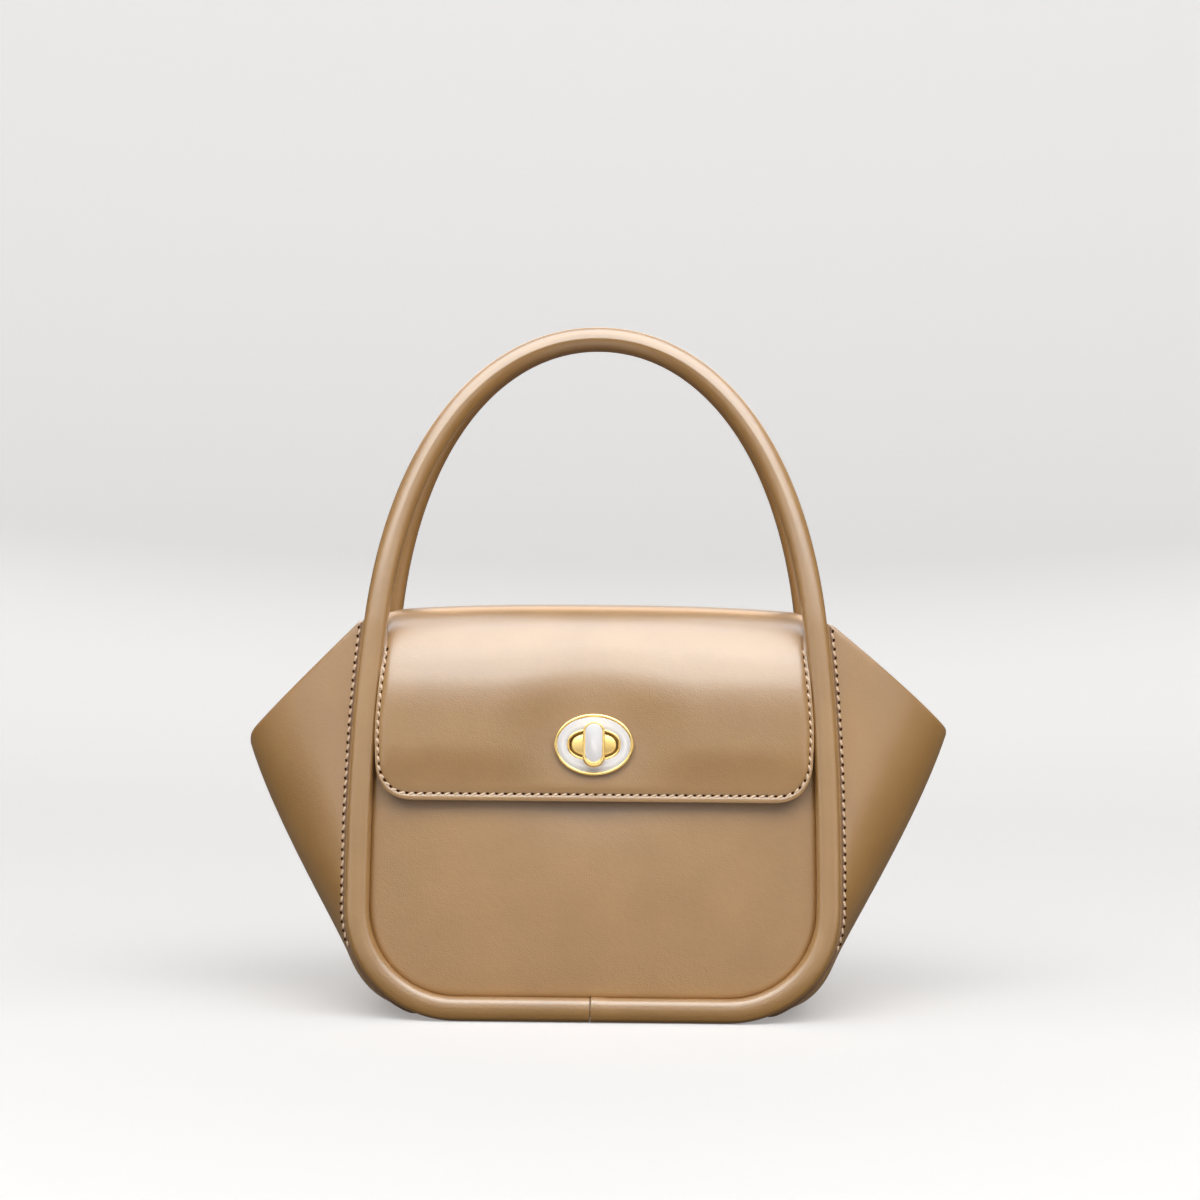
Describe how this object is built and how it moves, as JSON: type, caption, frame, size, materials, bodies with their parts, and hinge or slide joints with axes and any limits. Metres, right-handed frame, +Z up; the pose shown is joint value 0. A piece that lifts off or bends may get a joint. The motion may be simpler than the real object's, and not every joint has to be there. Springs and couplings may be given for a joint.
{
  "type": "top handle bag",
  "caption": "Structured leather top handle bag with padded tube edges that rise into arched handles, outward folded side wings and a front flap closed by an oval twist lock.",
  "frame": {"origin": "on the floor under the middle of the bag", "axes": "+X to the right across the front, +Y from the front to the back, +Z up"},
  "size_m": [0.2876, 0.1096, 0.2802],
  "materials": {
    "tan_leather": "smooth calf leather, satin, fine grain",
    "suede_lining": "suede, matte nap",
    "stiffener_board": "dense bag board, matte",
    "padding_foam": "thin foam, matte",
    "tube_core": "soft cotton cord",
    "gold_metal": "polished gold plating",
    "pearl_enamel": "pale pearl enamel, glossy",
    "plain_steel": "plain zinc finish"
  },
  "bodies": {
    "bag_body": {"front_trim": "tan_leather", "front_trim_core": "tube_core", "rear_trim": "tan_leather", "rear_trim_core": "tube_core", "front_panel": "tan_leather", "front_board": "stiffener_board", "front_foam": "padding_foam", "front_lining": "suede_lining", "rear_panel": "tan_leather", "rear_board": "stiffener_board", "rear_lining": "suede_lining", "rear_pocket": "suede_lining", "left_gusset": "tan_leather", "left_gusset_lining": "suede_lining", "right_gusset": "tan_leather", "right_gusset_lining": "suede_lining", "base_panel": "tan_leather", "base_board": "stiffener_board", "base_lining": "suede_lining", "flap_top": "tan_leather", "flap_top_lining": "suede_lining", "lock_base": "gold_metal", "lock_backplate": "plain_steel", "click_spring": "plain_steel", "lock_rivet_upper": "plain_steel", "lock_rivet_lower": "plain_steel"},
    "flap": {"flap_front": "tan_leather", "flap_padding": "padding_foam", "flap_lining": "suede_lining", "lock_plate": "gold_metal", "plate_enamel": "pearl_enamel", "plate_backing": "gold_metal", "plate_screw_left": "plain_steel", "plate_screw_right": "plain_steel"},
    "front_handle": {"front_handle": "tan_leather", "front_handle_core": "tube_core"},
    "rear_handle": {"rear_handle": "tan_leather", "rear_handle_core": "tube_core"},
    "twist_knob": {"turn_knob": "gold_metal", "knob_enamel": "pearl_enamel", "knob_retainer": "plain_steel"}
  },
  "joints": [
    {"name": "flap_fold", "type": "hinge", "parent": "bag_body", "child": "flap", "pos_m": [0, -0.0344, 0.15457], "axis": [-1, 0, 0], "range_deg": [0, 105]},
    {"name": "front_handle_bend", "type": "hinge", "parent": "bag_body", "child": "front_handle", "pos_m": [0, -0.036, 0.16], "axis": [1, 0, 0], "range_deg": [0, 25], "stiffness_Nm_per_rad": 0.03},
    {"name": "rear_handle_bend", "type": "hinge", "parent": "bag_body", "child": "rear_handle", "pos_m": [0, 0.036, 0.16], "axis": [-1, 0, 0], "range_deg": [0, 25], "stiffness_Nm_per_rad": 0.03},
    {"name": "knob_turn", "type": "hinge", "parent": "bag_body", "child": "twist_knob", "pos_m": [0, -0.03901, 0.11], "axis": [0, -0.996, 0.0898], "range_deg": [0, 90]}
  ]
}
